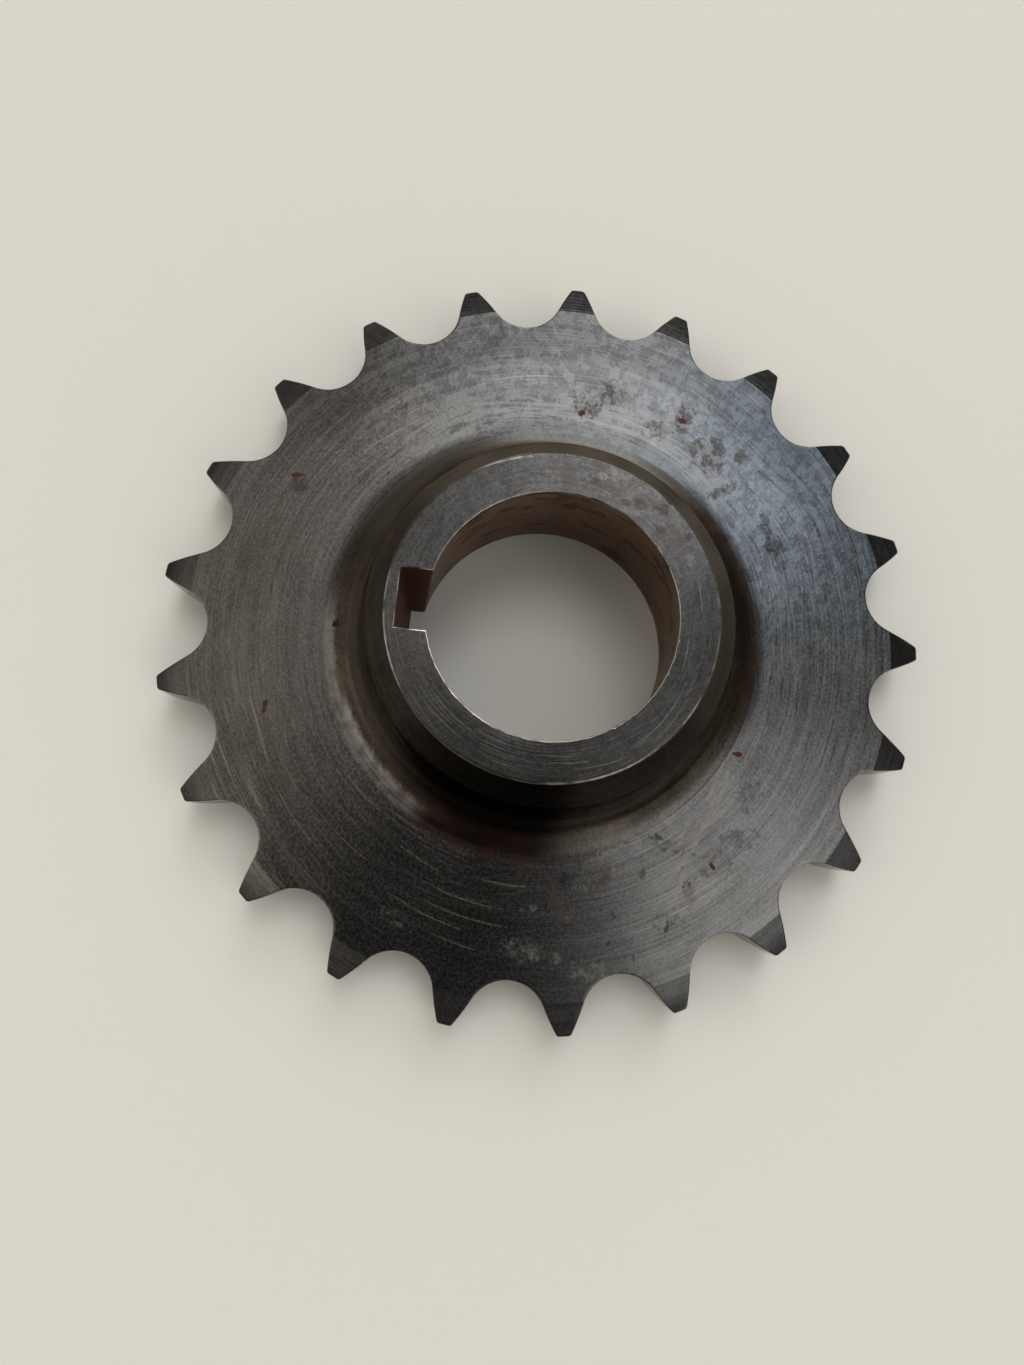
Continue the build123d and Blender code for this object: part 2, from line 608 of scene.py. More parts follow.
def new_group(name, inputs, outputs):
    """A shader group with named inputs and outputs. Returns its graph, its inputs and its output node."""
    tree = bpy.data.node_groups.new(name, "ShaderNodeTree")
    for label, value in inputs.items():
        socket = tree.interface.new_socket(name=label, in_out="INPUT", socket_type=SOCKETS[type(value)])
        socket.default_value = value
    for label, value in outputs.items():
        tree.interface.new_socket(name=label, in_out="OUTPUT", socket_type=SOCKETS[type(value)])
    graph = Graph(tree)
    return graph, tree.nodes.new("NodeGroupInput").outputs, tree.nodes.new("NodeGroupOutput").inputs


def turned_place(graph, place, run, pitch):
    """Where a point is round and across the lathe's rings: run slows it round, pitch is in millimetres."""
    x, y, z = graph.parts(place)
    radius = graph.vector("LENGTH", graph.join(x, y, 0.0))
    across = graph.math("DIVIDE", graph.math("SUBTRACT", radius, z), pitch)
    round_x = graph.math("MULTIPLY", graph.math("DIVIDE", x, radius), run)
    round_y = graph.math("MULTIPLY", graph.math("DIVIDE", y, radius), run)
    return round_x, round_y, across


def make_lathe_marks():
    """Fine rings left by the lathe: Rings is how light each is, and Slope which way its side leans."""
    inputs = {"Place": (0.0,) * 3, "Pitch": 0.16, "Run": 2.6}
    graph, given, result = new_group("lathe_marks", inputs, {"Rings": 0.0, "Slope": 0.0})
    x, y, across = turned_place(graph, given["Place"], given["Run"], given["Pitch"])
    fine = graph.noise(graph.join(x, y, across), 1.0, 1.0, 0.6)
    wide = graph.noise(graph.join(x, y, graph.math("MULTIPLY", across, 0.21)), 1.0, 0.0)
    rings = graph.math("ADD", graph.math("MULTIPLY", fine, 0.65), graph.math("MULTIPLY", wide, 0.35))
    graph.feed(result["Rings"], graph.smooth(rings, 0.32, 0.68))
    lean = graph.noise(graph.join(y, x, graph.math("MULTIPLY", across, 2.3)), 1.0, 0.0)
    graph.feed(result["Slope"], graph.math("MULTIPLY", graph.math("SUBTRACT", lean, 0.5), 2.0))


def noise_above(graph, value, share, levels):
    """1 where a noise is above a level. levels are that level for no share, what a share of 1 takes off
    it, and the width of the mask's soft edge."""
    level, fall, soft = levels
    least = graph.math("SUBTRACT", level, graph.math("MULTIPLY", share, fall))
    return graph.smooth(value, least, graph.math("ADD", least, soft))


SCRATCH_LEVELS = (0.74, 0.2, 0.05)
HAIRLINE_LEVELS = (0.78, 0.2, 0.04)


def make_lathe_scratches():
    """Broken scratches that run round the bore. Share is about how many there are."""
    inputs = {"Place": (0.0,) * 3, "Pitch": 0.3, "Run": 7.0, "Share": 0.3, "Seed": 0.0}
    graph, given, result = new_group("lathe_scratches", inputs, {"Mask": 0.0})
    x, y, across = turned_place(graph, given["Place"], given["Run"], given["Pitch"])
    lines = graph.noise(graph.join(x, y, graph.math("ADD", across, given["Seed"])), 1.0, 1.0)
    graph.feed(result["Mask"], noise_above(graph, lines, given["Share"], SCRATCH_LEVELS))


def make_hairlines():
    """Straight fine scratches that lie one way. Length and Width are in millimetres."""
    inputs = {"Place": (0.0,) * 3, "Turn": 0.0, "Length": 9.0, "Width": 0.12, "Share": 0.3}
    graph, given, result = new_group("hairlines", inputs, {"Mask": 0.0})
    x, y, _ = graph.parts(graph.turned(given["Place"], graph.math("RADIANS", given["Turn"])))
    spot = graph.join(graph.math("DIVIDE", x, given["Length"]), graph.math("DIVIDE", y, given["Width"]),
                      given["Turn"])
    lines = graph.noise(spot, 1.0, 0.0)
    graph.feed(result["Mask"], noise_above(graph, lines, given["Share"], HAIRLINE_LEVELS))


def make_turned_normal():
    """Leans the surface's normal across the lathe's rings, so that light spreads across them."""
    inputs = {"Place": (0.0,) * 3, "Normal": (0.0,) * 3, "Slope": 0.0, "Strength": 0.1}
    graph, given, result = new_group("turned_normal", inputs, {"Normal": (0.0,) * 3})
    x, y, _ = graph.parts(given["Place"])
    around = graph.join(graph.math("MULTIPLY", y, -1.0), x, 0.0)
    across = graph.vector("NORMALIZE", graph.vector("CROSS_PRODUCT", given["Normal"], around))
    lean = graph.vector("SCALE", across, graph.math("MULTIPLY", given["Slope"], given["Strength"]))
    graph.feed(result["Normal"], graph.vector("NORMALIZE", graph.vector("ADD", given["Normal"], lean)))


SEED_SHIFT = (1.7, 2.9, 4.3)  # how far each seed moves the noise that blotches are cut from


def make_blotches():
    """Ragged patches. Size is in millimetres, and Share is about how much of the surface they cover."""
    inputs = {"Place": (0.0,) * 3, "Size": 4.0, "Share": 0.4, "Softness": 0.1, "Detail": 3.0, "Seed": 0.0}
    graph, given, result = new_group("blotches", inputs, {"Mask": 0.0})
    moved = graph.vector("ADD", given["Place"], graph.vector("SCALE", SEED_SHIFT, given["Seed"]))
    sized = graph.vector("SCALE", moved, graph.math("DIVIDE", 1.0, given["Size"]))
    value = graph.noise(sized, 1.0, given["Detail"], 0.62)
    middle = graph.math("SUBTRACT", 0.68, graph.math("MULTIPLY", given["Share"], 0.36))
    low = graph.math("SUBTRACT", middle, given["Softness"])
    graph.feed(result["Mask"], graph.smooth(value, low, graph.math("ADD", middle, given["Softness"])))


SEAM = 75.0  # the angle where the unrolled surface starts and ends
UNROLL_R = 30.0


def make_unrolled():
    """The surface unrolled about the bore: X is the length round it at UNROLL_R, and Y is the radius."""
    graph, given, result = new_group("unrolled", {"Place": (0.0,) * 3}, {"Unrolled": (0.0,) * 3})
    x, y, _ = graph.parts(given["Place"])
    turned = graph.turned(graph.join(x, y, 0.0), -math.radians(SEAM + 180))
    out, side, _ = graph.parts(turned)
    along = graph.math("ADD", graph.math("ARCTAN2", side, out), math.pi)
    radius = graph.vector("LENGTH", turned)
    graph.feed(result["Unrolled"], graph.join(graph.math("MULTIPLY", along, UNROLL_R), radius, 0.0))


def make_mark():
    """One spot or stroke on the unrolled surface, added to those before it.

    Along and Across are the ways it lies, each divided by half of its size that way.
    """
    inputs = {"Before": 0.0, "Unrolled": (0.0,) * 3, "Uneven": 0.0, "Middle": (0.0,) * 3,
              "Along": (1.0,) * 3, "Across": (1.0,) * 3, "Ragged": 0.5}
    graph, given, result = new_group("mark", inputs, {"Mask": 0.0})
    local = graph.vector("SUBTRACT", given["Unrolled"], given["Middle"])
    along = graph.vector("DOT_PRODUCT", local, given["Along"])
    across = graph.vector("DOT_PRODUCT", local, given["Across"])
    away = graph.math("MULTIPLY_ADD", along, along, graph.math("MULTIPLY", across, across))
    away = graph.math("MULTIPLY_ADD", given["Uneven"], given["Ragged"], away)
    graph.feed(result["Mask"], graph.math("MAXIMUM", given["Before"], graph.fall(away, 0.5, 1.3)))


def make_sector():
    """1 round a middle angle, out to Half on each side, then fading over Soft. All in degrees."""
    inputs = {"Place": (0.0,) * 3, "Middle": 0.0, "Half": 30.0, "Soft": 20.0}
    graph, given, result = new_group("sector", inputs, {"Mask": 0.0})
    back = graph.math("MULTIPLY", graph.math("RADIANS", given["Middle"]), -1.0)
    out, side, _ = graph.parts(graph.turned(given["Place"], back))
    away = graph.math("ABSOLUTE", graph.math("DEGREES", graph.math("ARCTAN2", side, out)))
    end = graph.math("ADD", given["Half"], given["Soft"])
    graph.feed(result["Mask"], graph.fall(away, given["Half"], end))


def make_worn_edge():
    """Bright metal along worn edges, patchy, from the mesh's own wear."""
    inputs = {"Place": (0.0,) * 3, "Wear": 0.0, "Amount": 0.6}
    graph, given, result = new_group("worn_edge", inputs, {"Mask": 0.0})
    patchy = graph.noise(given["Place"], 0.35, 2.0, 0.6)
    enough = graph.math("SUBTRACT", 0.95, graph.math("MULTIPLY", given["Amount"], 0.75))
    kept = graph.smooth(patchy, graph.math("SUBTRACT", enough, 0.12), graph.math("ADD", enough, 0.12))
    near = graph.smooth(given["Wear"], 0.45, 0.95)
    graph.feed(result["Mask"], graph.math("MULTIPLY", near, kept))


# ---- Marks on the steel: angles in degrees, the rest in millimetres ----

# Spots have an angle, a radius, a length round the bore, a width across it and a turn.
# Bands and scratches have a first and a last angle, a radius and a width.
RUST_SPECKS = [
    (333.4, 31.4, 1.0, 0.65, 25), (356.4, 27.7, 0.65, 1.2, 10), (62.6, 34.6, 0.6, 1.5, -20),
    (110.7, 32.5, 1.3, 0.45, 30), (244.7, 25.8, 0.5, 1.2, -31), (265.4, 26.6, 0.75, 0.4, 0),
    (221.6, 31.8, 0.4, 0.8, 0), (49.0, 26.6, 0.5, 0.6, 0),
]
# Brown stains, ragged and mottled
STAINS = [
    (324.4, 30.0, 4.6, 3.8, 20), (337.1, 29.1, 3.0, 2.4, 0), (355.0, 28.7, 3.4, 2.8, 20),
    (351.0, 30.8, 3.6, 3.0, 0), (333.6, 31.9, 2.2, 4.4, -10), (315.9, 27.7, 1.6, 3.4, 15),
    (13.9, 37.3, 1.4, 3.0, 15), (322.2, 39.0, 0.9, 2.0, 0), (318.5, 32.5, 1.8, 2.2, 30),
    (214.9, 33.0, 1.4, 2.8, 20), (200.0, 27.4, 1.2, 2.6, 25), (188.5, 30.1, 1.6, 3.4, -10),
    (63.5, 33.8, 2.2, 2.6, 0),
]
# Slate-grey stains, darker than the steel round them
SLATE_STAINS = [(302.7, 29.6, 3.2, 1.5, 12), (298.1, 29.5, 2.2, 2.2, -61)]
# Dull patches, ragged and broken up
DULL_PATCHES = [
    (228.9, 31.5, 5.2, 2.1, 37), (221.2, 31.4, 4.6, 2.6, 20), (215.8, 27.2, 3.4, 1.2, 50),
    (237.9, 29.3, 3.6, 2.4, -29), (209.0, 34.4, 3.0, 2.0, 30), (192.5, 27.6, 3.4, 1.8, 10),
]
# Pale patches, mottled
PALE_PATCHES = [
    (181.4, 34.9, 4.6, 2.6, 10), (192.9, 37.3, 3.8, 2.4, 20), (187.5, 35.8, 1.5, 1.2, 0),
    (194.0, 28.0, 2.6, 1.9, 0), (182.5, 30.5, 1.9, 1.1, 0), (190.2, 31.6, 1.1, 1.1, 0),
    (201.0, 25.3, 3.0, 1.3, 0), (205.6, 40.3, 2.4, 2.2, 0), (201.3, 27.1, 1.5, 1.0, 0),
    (211.1, 28.4, 2.4, 1.5, 0), (158.0, 35.4, 3.4, 1.6, 0),
]
# Straight pale scuffs
SCUFFS = [
    (234.5, 26.7, 6.5, 0.55, -18), (236.3, 25.3, 5.1, 0.5, -13), (219.1, 29.2, 7.8, 0.7, -22),
    (220.7, 27.1, 4.6, 0.5, -25), (227.2, 27.5, 7.1, 0.6, -22), (213.4, 32.0, 6.1, 0.6, -40),
]
# Small dark pits
PITS = [
    (191.9, 27.0, 1.1, 0.6, 20), (208.0, 28.7, 0.5, 1.0, 35), (215.0, 26.0, 0.4, 0.9, -20),
    (208.1, 35.3, 0.4, 1.2, 30), (199.4, 32.0, 0.35, 1.0, -15), (198.0, 25.1, 0.9, 0.35, 10),
    (197.2, 34.9, 0.35, 0.8, 25), (200.9, 37.1, 0.3, 1.0, 0), (194.2, 26.0, 0.4, 0.7, -30),
    (207.1, 24.9, 0.6, 0.35, 15),
]
# Pale bands rubbed beside the hub's root
PALE_BANDS = [
    (236.5, 245.5, 24.6, 0.8), (204.0, 216.0, 24.9, 1.2), (207.0, 226.0, 30.6, 2.2),
    (222.0, 241.0, 27.6, 1.8),
]
# Bright scratches that run round the plate and the hub's face
PLATE_SCRATCHES = [
    (108.0, 121.0, 34.2, 0.25), (125.0, 139.0, 34.3, 0.19), (161.0, 178.0, 32.0, 0.19),
    (163.0, 177.0, 30.3, 0.18), (131.0, 143.0, 27.0, 0.18), (145.0, 156.0, 26.2, 0.16),
    (152.0, 163.0, 28.6, 0.20), (155.0, 171.0, 33.4, 0.19), (166.0, 175.0, 35.1, 0.18),
    (171.0, 182.0, 27.7, 0.15), (136.0, 150.0, 31.8, 0.15), (3.0, 19.0, 31.9, 0.20),
    (34.0, 49.0, 30.0, 0.18),
]
FACE_SCRATCHES = [
    (160.9, 172.9, 16.5, 0.13), (177.9, 193.9, 14.8, 0.16), (183.9, 199.9, 15.5, 0.13),
    (215.9, 248.9, 15.5, 0.12), (123.9, 143.9, 15.3, 0.10), (172.9, 183.9, 13.8, 0.10),
    (222.0, 240.0, 16.4, 0.09), (252.0, 268.0, 14.6, 0.10), (150.0, 166.0, 14.4, 0.09),
    (195.0, 214.0, 16.1, 0.10), (276.0, 290.0, 15.9, 0.09),
]
# Brown flecks, pale patches and one dark spot: on the hub's face, and in its root
FACE_STAINS = [
    (327.9, 15.0, 1.6, 1.3, 0), (321.0, 16.2, 1.5, 1.4, 0), (349.0, 15.4, 1.3, 0.9, 0),
    (333.0, 14.4, 1.2, 0.6, 0), (315.0, 14.6, 1.0, 0.8, 0), (306.0, 16.4, 0.9, 0.9, 20),
    (213.9, 13.6, 0.8, 0.6, 0),
]
FACE_PALE = [(339.9, 16.6, 3.0, 1.3, 0), (347.0, 15.9, 1.6, 0.9, 0), (298.0, 15.6, 1.6, 1.0, 0)]
ROOT_SPOT_PLACE = (92.7, 23.8, 0.9, 0.9, 0)


# ---- Materials of the sprocket ----

# Colours of rust, stains, films and bare metal, and of painted light and painted highlights on the hub's
# root and chamfer
RUST = (0.034, 0.0077, 0.0070)
BROWN = (0.049, 0.041, 0.038)
CREAM = (0.168, 0.161, 0.143)
PALE = (0.143, 0.140, 0.133)
CRESCENT_HIGHLIGHT = (0.141, 0.139, 0.132)
SCRATCHED = (0.189, 0.189, 0.182)
STREAKED = (0.156, 0.154, 0.147)
PITTED = (0.021, 0.018, 0.018)
FACE_BROWN = (0.050, 0.039, 0.034)
FACE_CREAM = (0.134, 0.119, 0.106)
FACE_FLECKS = (0.037, 0.029, 0.025)
ROOT_RUST = (0.035, 0.0185, 0.0150)
ROOT_OLD_RUST = (0.0163, 0.0097, 0.0074)
ROOT_EDGE_HIGHLIGHT = (0.102, 0.101, 0.099)
ROOT_SIDE_LIGHT = (0.082, 0.073, 0.062)
ROOT_GREY_LIGHT = (0.093, 0.092, 0.088)
ROOT_BUFF_LIGHT = (0.078, 0.074, 0.068)
ROOT_SPOT = (0.023, 0.0140, 0.0093)
ROOT_TOP_LIGHT = (0.062, 0.055, 0.046)
BROWN_FILM = (0.060, 0.045, 0.034)
DARK_FILM = (0.034, 0.029, 0.023)
GREY_CHAMFER = (0.031, 0.032, 0.028)
CHAMFER_PAINTED_LIGHT = (0.094, 0.082, 0.064)
BORE_STREAKS = (0.027, 0.0104, 0.0072)
KEYWAY_OXIDE = (0.050, 0.0104, 0.0048)
FLANK_RUST = (0.044, 0.027, 0.021)

# Colours of the bright metal on worn edges, and of a painted highlight on the bore's rim
PLATE_EDGE = (0.120, 0.117, 0.110)
FACE_EDGE = (0.190, 0.184, 0.168)
BORE_RIM_HIGHLIGHT = (0.50, 0.455, 0.43)
SIDE_EDGE = (0.066, 0.062, 0.054)
BORE_EDGE = (0.160, 0.152, 0.136)
FLANK_EDGE = (0.192, 0.184, 0.168)

GRAIN = 7.5  # how fine the finest tone is, in grains to a millimetre
DRIFT = 0.06  # the same for the slow drift of scratches
WHOLE = None  # the zone that takes in all of a finish


def new_material(name):
    material = bpy.data.materials.new(name)
    material.use_nodes = True
    material.node_tree.nodes.clear()
    return material, Graph(material.node_tree)


class Steel:
    """One finish of the steel, built up from its bare tone by stains, scratches and wear, and by painted
    shade and painted light on stretches round the bore.

    A mask is 1 where something lies and 0 elsewhere. A sector is its middle angle, how far it reaches on
    each side, and how far it then fades, all in degrees.
    """

    def __init__(self, name, light, dark, pitch=0.16, run=2.6):
        self.material, self.graph = new_material(name)
        graph = self.graph
        self.place = graph.place_mm()
        x, y, self.height = graph.parts(self.place)
        self.radius = graph.vector("LENGTH", graph.join(x, y, 0.0))
        self.marks = graph.group("lathe_marks", Place=self.place, Pitch=pitch, Run=run)
        self.unrolled = graph.group("unrolled", Place=self.place)["Unrolled"]
        rough = graph.noise(self.place, 1.15, 4.0, 0.66)
        self.uneven = self.times(graph.math("SUBTRACT", rough, 0.5), 4.0)
        self.light, self.dark = light, dark
        self.roughness = 0.2
        self.bump = 0.0
        self.metallic = 1.0

    def lay_tone(self, *layers):
        """Adds up masks, each times its weight, and turns the sum, 0 to 1, into the bare colour."""
        tone = 0.0
        for mask, weight in layers:
            tone = self.graph.math("MULTIPLY_ADD", mask, weight, tone)
        tone = self.graph.math("MINIMUM", self.graph.math("MAXIMUM", tone, 0.0), 1.0)
        self.colour = self.graph.mix(tone, opaque(self.dark), opaque(self.light))

    # Masks

    def grain(self, scale=GRAIN):
        return self.graph.noise(self.place, scale, 0.0)

    def blotches(self, size, share, softness, seed, detail=3.0, place=None):
        return self.graph.group("blotches", Place=place or self.place, Size=size, Share=share,
                                Softness=softness, Detail=detail, Seed=seed)["Mask"]

    def sector(self, middle, half, soft):
        return self.graph.group("sector", Place=self.place, Middle=middle, Half=half, Soft=soft)["Mask"]

    def most_of(self, sectors, soft):
        mask = 0.0
        for middle, half in sectors:
            mask = self.graph.math("MAXIMUM", mask, self.sector(middle, half, soft))
        return mask

    def between(self, value, low, high, soft):
        """1 where value is between low and high, fading over soft."""
        rise = self.graph.smooth(value, low - soft, low + soft)
        return self.times(rise, self.graph.fall(value, high - soft, high + soft))

    def times(self, *masks):
        result = masks[0]
        for mask in masks[1:]:
            result = self.graph.math("MULTIPLY", result, mask)
        return result

    def scratches(self, place, pitch, run, share, seed=0.0):
        return self.graph.group("lathe_scratches", Place=place, Pitch=pitch, Run=run, Share=share,
                                Seed=seed)["Mask"]

    def hairlines(self, place, turn, length, width, share):
        return self.graph.group("hairlines", Place=place, Turn=turn, Length=length, Width=width,
                                Share=share)["Mask"]

    def mark(self, before, unrolled, angle, radius, length, width, turn, ragged):
        middle = (math.radians((angle - SEAM) % 360) * UNROLL_R, radius, 0.0)
        cosine, sine = math.cos(math.radians(turn)), math.sin(math.radians(turn))
        long, wide = length / 2 * UNROLL_R / radius, width / 2
        along, across = (cosine / long, sine / long, 0.0), (-sine / wide, cosine / wide, 0.0)
        return self.graph.group("mark", Before=before, Unrolled=unrolled, Uneven=self.uneven,
                                Middle=middle, Along=along, Across=across, Ragged=ragged)["Mask"]

    def spots(self, spots, ragged):
        mask = 0.0
        for angle, radius, length, width, turn in spots:
            mask = self.mark(mask, self.unrolled, angle, radius, length, width, turn, ragged)
        return mask

    def arcs(self, arcs, ragged, unrolled=None):
        mask = 0.0
        for first, last, radius, width in arcs:
            middle, length = (first + last) / 2, math.radians(last - first) * radius
            mask = self.mark(mask, unrolled or self.unrolled, middle, radius, length, width, 0, ragged)
        return mask

    def wandering(self, place, amount):
        """A place moved a little to and fro, so that a scratch doesn't follow a true circle."""
        graph = self.graph
        drift = graph.node("ShaderNodeTexNoise", {"Vector": self.place, "Scale": DRIFT, "Detail": 0.6})
        moved = graph.vector("SUBTRACT", drift.outputs["Color"], (0.5, 0.5, 0.5))
        return graph.vector("ADD", place, graph.vector("SCALE", moved, amount))

    # What lies on the steel

    def stain(self, mask, colour, roughness=None, metallic=None):
        self.colour = self.graph.mix(mask, self.colour, opaque(colour))
        if roughness is not None:
            self.roughness = self.graph.blend(mask, self.roughness, roughness)
        if metallic is not None:
            self.metallic = self.graph.blend(mask, self.metallic, metallic)

    def tint(self, mask, tint):
        """Multiplies the colour by a tint, where mask is 1."""
        change = self.graph.vector("MULTIPLY_ADD", mask, tuple(part - 1 for part in tint), (1.0, 1.0, 1.0))
        self.colour = self.graph.vector("MULTIPLY", self.colour, change)

    def shade(self, mask, share):
        """Multiplies the colour by share where mask is 1: under 1 darkens it, and over 1 brightens it."""
        self.colour = self.graph.vector("SCALE", self.colour, self.graph.blend(mask, 1.0, share))

    def shade_round(self, *stretches):
        """Shades sectors. Each is a mask of the zone that it stays in, the sector, and its share."""
        for zone, sector, share in stretches:
            mask = self.sector(*sector)
            self.shade(mask if zone is WHOLE else self.times(zone, mask), share)

    def darken_tips(self):
        """The relieved tips, darker than the plate: partly their own colour and partly painted shade, with
        painted light and shade that change by angle round the bore. They darken outwards beside the
        keyway.
        """
        graph = self.graph
        cut = graph.smooth(self.radius, RELIEF_R - 0.04, RELIEF_R + 0.06)
        far = graph.smooth(self.radius, RELIEF_R + 0.6, TIP_R + 0.2)
        # Painted shade and painted light on the tips, changing by angle round the bore
        share = graph.blend(self.sector(330.0, 84.0, 14.0), 0.54, 0.42)
        self.shade(cut, graph.blend(self.sector(157.0, 17.0, 22.0), share, 1.08))
        self.shade_round((far, (98.0, 40.0, 12.0), 0.4), (cut, (52.0, 14.0, 22.0), 1.8),
                         (far, (218.0, 12.0, 18.0), 0.34), (cut, (226.0, 8.0, 16.0), 0.74))
        # A lighter band just past the crease on some teeth
        past_crease = self.between(self.radius, RELIEF_R + 0.1, RELIEF_R + 0.6, 0.2)
        self.shade_round((past_crease, (350.0, 30.0, 14.0), 1.7))

    def wear_edges(self, colour, amount, where=1.0):
        edge = self.graph.node("ShaderNodeAttribute", attribute_name="edge_wear").outputs["Fac"]
        mask = self.graph.group("worn_edge", Place=self.place, Wear=edge, Amount=amount)["Mask"]
        self.stain(self.times(mask, where), colour)

    def add_bump(self, mask, height):
        self.bump = self.graph.math("MULTIPLY_ADD", mask, height, self.bump)

    def finish(self, slope, edge_tint=(1.0, 1.0, 1.0)):
        """slope is how far the lathe's rings lean. edge_tint dulls what is seen at a low angle."""
        graph = self.graph
        normal = graph.node("ShaderNodeNewGeometry").outputs["Normal"]
        normal = graph.group("turned_normal", Place=self.place, Normal=normal, Slope=self.marks["Slope"],
                             Strength=slope)["Normal"]
        bump = graph.node("ShaderNodeBump", {"Height": self.bump, "Normal": normal})
        bump.inputs["Distance"].default_value = MM
        bump.inputs["Strength"].default_value = 1.0
        shader = graph.node("ShaderNodeBsdfPrincipled", {
            "Base Color": self.colour, "Roughness": self.roughness, "Metallic": self.metallic,
            "Specular Tint": opaque(edge_tint), "Normal": bump.outputs["Normal"]})
        graph.node("ShaderNodeOutputMaterial", {"Surface": shader.outputs["BSDF"]})
        return self.material


def rust_oil_and_shade(steel, mottle):
    """The red rust in the hub's root, nearly a quarter turn past the keyway, and a stretch where the root
    and the plate beside it go black, partly oil and partly painted shade.
    """
    graph = steel.graph
    uneven_radius = graph.math("MULTIPLY_ADD", steel.uneven, 0.5, steel.radius)
    rust = steel.times(steel.sector(165.0, 13.0, 16.0), steel.between(uneven_radius, 22.6, 25.9, 0.9))
    steel.stain(steel.times(rust, graph.blend(mottle, 0.45, 1.0)), ROOT_RUST, 0.3)
    # Painted shade, partly oil: the root and the plate's edge beside it darken to black on this stretch
    steel.shade_round((graph.fall(steel.radius, 24.6, 26.0), (172.0, 10.0, 14.0), 0.66),
                      (graph.fall(steel.radius, 21.8, 23.2), (168.0, 14.0, 20.0), 0.34))


def root_edge_highlight(steel):
    """A painted highlight where the hub's root meets the plate, a little past the keyway: a whitish
    crescent broken into patches.
    """
    graph = steel.graph
    uneven_radius = graph.math("MULTIPLY_ADD", steel.uneven, 0.34, steel.radius)
    thin = steel.times(steel.sector(116.0, 22.0, 12.0),
                       steel.between(uneven_radius, 24.05, 25.15, 0.42), 0.9)
    wide = steel.times(steel.sector(132.0, 13.0, 9.0),
                       steel.between(uneven_radius, 23.55, 25.3, 0.42))
    # Patches that break up the painted highlight
    rubbed = steel.blotches(1.5, 0.6, 0.12, 27.0, 2.0)
    crescent = steel.times(graph.math("MAXIMUM", thin, wide), graph.blend(rubbed, 0.55, 1.0))
    steel.stain(crescent, CRESCENT_HIGHLIGHT, 0.28)


def plate_wear(steel, wander):
    """Fine scratches and dark rings round the bore, straight hairlines across them, and dark flecks."""
    graph = steel.graph
    rubbed = steel.scratches(wander, 0.20, 5.5, 0.6)
    steel.stain(steel.times(rubbed, graph.blend(steel.sector(148.0, 32.0, 16.0), 0.18, 0.42)), SCRATCHED)
    dark_rings = steel.scratches(wander, 0.30, 5.0, 0.75, 20.0)
    steel.shade(steel.times(dark_rings, graph.blend(steel.sector(283.0, 26.0, 20.0), 0.25, 1.0)), 0.66)
    for turn, length, width, share in ((25.0, 11.0, 0.18, 0.5), (-50.0, 7.0, 0.16, 0.45)):
        steel.stain(steel.times(steel.hairlines(wander, turn, length, width, share), 0.15), SCRATCHED)
    steel.shade(graph.smooth(steel.uneven, 0.8, 1.0), 0.7)


def plate_marks(steel, wander, curd, grit):
    """The single marks on the hub's side of the plate, from rubbed streaks to rust specks and pits."""
    graph = steel.graph
    streaks = steel.scratches(wander, 0.42, 7.0, 1.35, 7.0)
    rubbed_zone = steel.times(steel.sector(0.0, 34.0, 20.0), steel.between(steel.radius, 25.4, 30.0, 1.3))
    steel.stain(steel.times(streaks, rubbed_zone, graph.blend(grit, 0.45, 0.85)), STREAKED, 0.26)
    pale = graph.math("MAXIMUM", steel.spots(PALE_PATCHES, 1.1), steel.arcs(PALE_BANDS, 0.9))
    flaky = steel.blotches(0.9, 0.46, 0.035, 33.0, 4.0)
    steel.stain(steel.times(pale, graph.blend(flaky, 0.12, 0.6), graph.blend(grit, 0.6, 1.0)), PALE, 0.28)
    steel.stain(steel.times(steel.spots(SCUFFS, 0.8), graph.blend(flaky, 0.3, 0.7)), CREAM, 0.28)
    mottle = steel.times(graph.blend(curd, 1.0, 0.4), graph.blend(grit, 0.6, 1.0))
    steel.stain(steel.times(steel.spots(STAINS, 1.3), mottle), BROWN, 0.3)
    steel.shade(steel.times(steel.spots(SLATE_STAINS, 1.5), graph.blend(grit, 1.0, 0.7)), 0.48)
    steel.shade(steel.times(steel.spots(DULL_PATCHES, 2.4), graph.blend(flaky, 0.25, 1.0)), 0.6)
    scratches = steel.arcs(PLATE_SCRATCHES, 0.9, steel.wandering(steel.unrolled, 3.0))
    steel.stain(steel.times(scratches, 0.9), CREAM)
    steel.stain(steel.spots(RUST_SPECKS, 2.2), RUST, 0.5, 0.6)
    pits = steel.spots(PITS, 2.3)
    steel.stain(steel.times(pits, 0.5), PITTED, 0.4)
    steel.add_bump(pits, -0.03)


